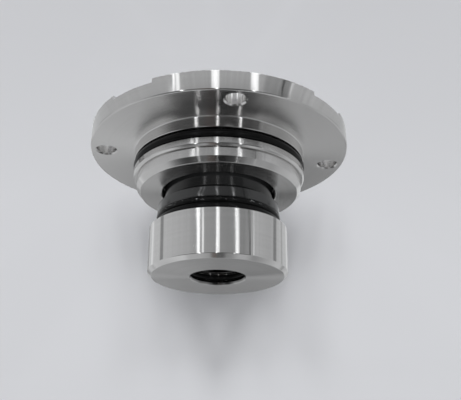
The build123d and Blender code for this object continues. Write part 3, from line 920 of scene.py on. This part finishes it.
def ripples(scale, detail, rough, row=0.0):
    """Noise that changes with the bearing alone, and a different one for each row."""
    at = wire.node("ShaderNodeCombineXYZ", None, {0: bearing, 1: row})
    return noise(at, scale, detail, rough)


# %% [markdown]
# ## The plain cloth
#
# The cloth is not evenly bright: it is lit from behind in some places and hangs double in others.
# Its level follows the bearing, evens out close to the object, and dips straight behind it. Two
# narrow belts at the back, one darker and one brighter, set off the front of the gland.

# %% Plain cloth
low = round_about((-180, 0.48), (-120, 0.62), (-85, 0.46), (-62, 0.52), (-50, 0.40), (-40, 0.30),
                  (-20, 0.31), (0, 0.34), (20, 0.40), (36, 0.42), (45, 0.48), (70, 0.54),
                  (100, 0.60), (140, 0.64), (180, 0.48))
near = step(reach, 0.135, 0.105) * step(wide, 110, 60)
glow = low + near * (0.52 - low)
glow = glow - step(wide, 160, 174) * 0.08
glow = glow - step(wide, 172.5, 178.5) * step(elevation, 3, 6) * 0.06
rear = step(wide, 120, 150)
glow = glow - rear * belt(18, 20, 23.4, 24.8) * (0.2 + step(across, 0.1, -0.3) * 0.22)
glow = glow + rear * belt(22, 24, 30, 33) * step(across, 0.15, 0.5) * 0.12

# %% [markdown]
# ## The opening and the roof
#
# The camera looks in through an opening, which the steel mirrors as a dark patch. It is built up
# from belts, each as wide as the opening is at that elevation. Streaks and folds in the cloth are
# noise that runs straight up. The roof has a pattern of its own round the bearings.

# %% Opening, folds and roof
lens = belt(6, 14, 40, 46) * step(away(8), 85, 48) * 0.85
lens = lens + belt(40, 46, 54, 60) * step(away(16), 66, 36) * 0.8
lens = lens + belt(40, 46, 54, 60) * step(away(-4), 9, 3) * 0.12
lens = lens + belt(54, 60, 78, 84) * step(wide, 30, 16) * 0.6
streaks = ripples(0.4, 4.0, 0.75) - 0.5
folds = (ripples(1.1, 3.0, 0.8, row=5.0) - 0.5) * step(bearing, -40, -48) * step(bearing, -80, -60)
glow = glow * (1 - lens) * (1 + streaks * 0.6 + folds * 1.2)
roof = round_about((-180, 0.5), (-120, 0.45), (-95, 0.36), (-84, 0.32), (-70, 0.45), (-52, 0.6),
                   (-30, 0.48), (-10, 0.26), (5, 0.4), (24, 0.9), (38, 0.5), (49, 0.28), (65, 0.5),
                   (81, 0.66), (110, 0.5), (180, 0.5))
glow = glow * (1 + (roof * 2 - 1) * belt(31, 35, 56, 62))

# %% [markdown]
# ## Strips near the floor
#
# The walls of the bolt holes mirror the cloth just under them, where upright bars give them their
# bright and dark lines. Farther out, a few strips low on the cloth mark the flange face, which
# mirrors only what lies low.

# %% Bars and strips
bars = ripples(0.55, 2.0, 0.8, row=9.0)
glow = glow * (1 + (bars - 0.45) * 6 * step(reach, 0.092, 0.088))
far = (1 - step(reach, 0.16, 0.22) + step(elevation, 1, 3)).clamp()
glow = glow * (shade(98, 3, 2, 0.5) * shade(-99, 3, 2, 0.5)).math("MAXIMUM", far)
low_down = step(elevation, 12, 6) * step(reach, 0.14, 0.2)
bright = 2 - shade(128, 3, 2, 0.35) - shade(-146, 4, 3, 0.35)
dark = 2 - shade(152, 5, 4, 0.4) - shade(-120, 2, 2, 0.25)
glow = glow * (1 + (bright - dark) * low_down)

# %% [markdown]
# ## Slits
#
# A slit in the cloth is mirrored as an upright line on each wall of the gland, the head and the
# sleeve. How far ahead a point lies tells which wall mirrors it, so a slit's two edges follow a
# list of places ahead, and that lets a line be wider on one wall than on the next. A lamp tube
# behind the cloth shows in the slit as a narrow brighter core.

# %% The slit
HALF_AHEAD, WIDEST = 2, 3     # scales that bring places and tangents into a colour ramp's 0 to 1
TUBE_STOPS = [(0, 0.05), (0.304, 0.05), (0.316, 0.8), (0.364, 0.8), (0.384, 0.05), (0.80, 0.05),
              (0.96, 1)]


def slit(level, *stops, soft=0.15, core=0):
    """A slit between two bearings, as tangents, that follow (ahead, left, right) stops.

    Where core is given, the lamp tube behind the cloth shows as a narrow brighter line.
    """
    edges = [wire.node("ShaderNodeValToRGB",
                       {"stops": [(stop[0] * HALF_AHEAD, 0.5 + stop[side] / WIDEST)
                                  for stop in stops]},
                       {"Fac": ahead * HALF_AHEAD}) * WIDEST - WIDEST / 2 for side in (1, 2)]
    tangent = across.math("DIVIDE", ahead.math("MAXIMUM", 0.001))
    part = (tangent - edges[0]).math("DIVIDE", edges[1] - edges[0])
    edge = step(part, -soft, soft) * step(part, 1 + soft, 1 - soft)
    if core:
        tube = step((part - 0.5).math("ABSOLUTE"), 0.24, 0.1)
        strength = wire.node("ShaderNodeValToRGB", {"stops": TUBE_STOPS},
                             {"Fac": ahead * HALF_AHEAD})
        edge = edge + tube * strength * (core / level)
    return edge * step(ahead, 0, 0.05) * step(elevation, 46, 38) * level


# %% Dark slits
glow = glow * (1 - slit(0.9, (0.092, -0.69, -0.72), (0.105, -0.86, -0.90), (0.16, -1.0, -1.09),
                         (0.20, -1.12, -1.20)))
rim_side = step(ahead, 0.115, 0.105)
glow = glow * (1 - slit(0.28, (0.09, -0.45, -0.66), (0.10, -0.45, -0.66)) * rim_side)
glow = glow * (1 - slit(0.38, (0.09, -0.66, -0.83), (0.10, -0.66, -0.83), soft=0.05) * rim_side)

# %% Bright slits
glow = glow + slit(1.0, (0.093, 0.468, 0.439), (0.109, 0.5175, 0.4815), (0.112, 0.584, 0.504),
                   (0.119, 0.59, 0.5085), (0.1215, 0.599, 0.515), (0.131, 0.6045, 0.5195),
                   (0.145, 0.73, 0.62), (0.20, 0.635, 0.53), (0.30, 0.615, 0.515),
                   (0.38, 0.606, 0.508), (0.49, 0.617, 0.531), core=3.5)
glow = glow + slit(0.8, (0.0944, 0.4336, 0.388), (0.112, 0.479, 0.4245), (0.118, 0.4646, 0.412),
                   (0.127, 0.47, 0.4165), (0.14, 0.4744, 0.4209), (0.165, 0.57, 0.53),
                   (0.216, 0.455, 0.400), (0.31, 0.442, 0.3875), (0.38, 0.434, 0.381),
                   (0.49, 0.531, 0.53), core=2)
glow = glow + slit(0.9, (0.104, 0.078, 0.009), (0.123, 0.083, 0.0077), (0.13, 0.0453, 0.0147),
                   (0.1387, 0.0446, 0.0136), (0.14, 0.1026, 0.025), (0.152, 0.102, 0.0236),
                   (0.19, 0.06, 0.0), (0.244, 0.056, -0.034), (0.347, 0.045, -0.045),
                   (0.38, 0.042, -0.048), (0.49, 0.066, 0.021), core=4)
glow = glow + slit(0.95, (0.098, -0.286, -0.3668), (0.115, -0.316, -0.405),
                   (0.121, -0.3685, -0.4138), (0.129, -0.374, -0.42), (0.1305, -0.382, -0.487),
                   (0.141, -0.389, -0.4955), (0.17, -0.42, -0.51), (0.22, -0.480, -0.611),
                   (0.31, -0.496, -0.629), (0.38, -0.506, -0.638), (0.49, -0.475, -0.535), core=4)
glow = glow + slit(0.45, (0.086, -0.84, -0.87), (0.10, -1.3, -1.34), (0.16, -1.42, -1.54))

# %% [markdown]
# ## Hanging the cloth
#
# Light that the steel throws back onto the floor would draw sharp bright wedges there, so the cloth
# is only a quarter as bright to a ray that has already met a dull surface. Two faint tints finish
# it: cool all round, and warmer straight ahead. The cloth only glows, so its shader is Emission.

# %% Cloth light
bounced = wire.node("ShaderNodeLightPath", out="Diffuse Depth").clamp()
glow = glow * (1 - bounced * 0.75)
skin = mixed(step(away(12), 10, 4) * step(elevation, 2, 8), (0.97, 0.985, 1, 1),
             (1.1, 0.97, 0.93, 1))
light = wire.node("ShaderNodeVectorMath", {"operation": "SCALE"}, {0: skin, "Scale": glow})
emit = wire.node("ShaderNodeEmission", None, {"Color": light})
made.node_tree.links.new(emit.socket, made.node_tree.nodes["Material Output"].inputs["Surface"])
made.node_tree.nodes.remove(shader)
dress(made, ground, dome)

# %% [markdown]
# ## The air around
#
# The world gives a little even light from all sides. What camera and mirror rays see of it past the
# edge of the floor is paler, so that metal mirrors the same background that shows behind it.

# %% World
world = bpy.data.worlds.new("studio")
bpy.context.scene.world = world
world.use_nodes = True
air = Wire(world.node_tree)
camera_ray, glossy_ray, transmission_ray = (
    air.node("ShaderNodeLightPath", out=k)
    for k in ("Is Camera Ray", "Is Glossy Ray", "Is Transmission Ray"))
seen = (camera_ray + glossy_ray + transmission_ray).clamp()
colour = mixed(seen, (0.14, 0.14, 0.143, 1), (0.63, 0.635, 0.65, 1))
world.node_tree.links.new(colour.socket, world.node_tree.nodes["Background"].inputs["Color"])
bpy.context.scene.view_settings.view_transform = "Standard"
print("world has", len(world.node_tree.nodes), "nodes")
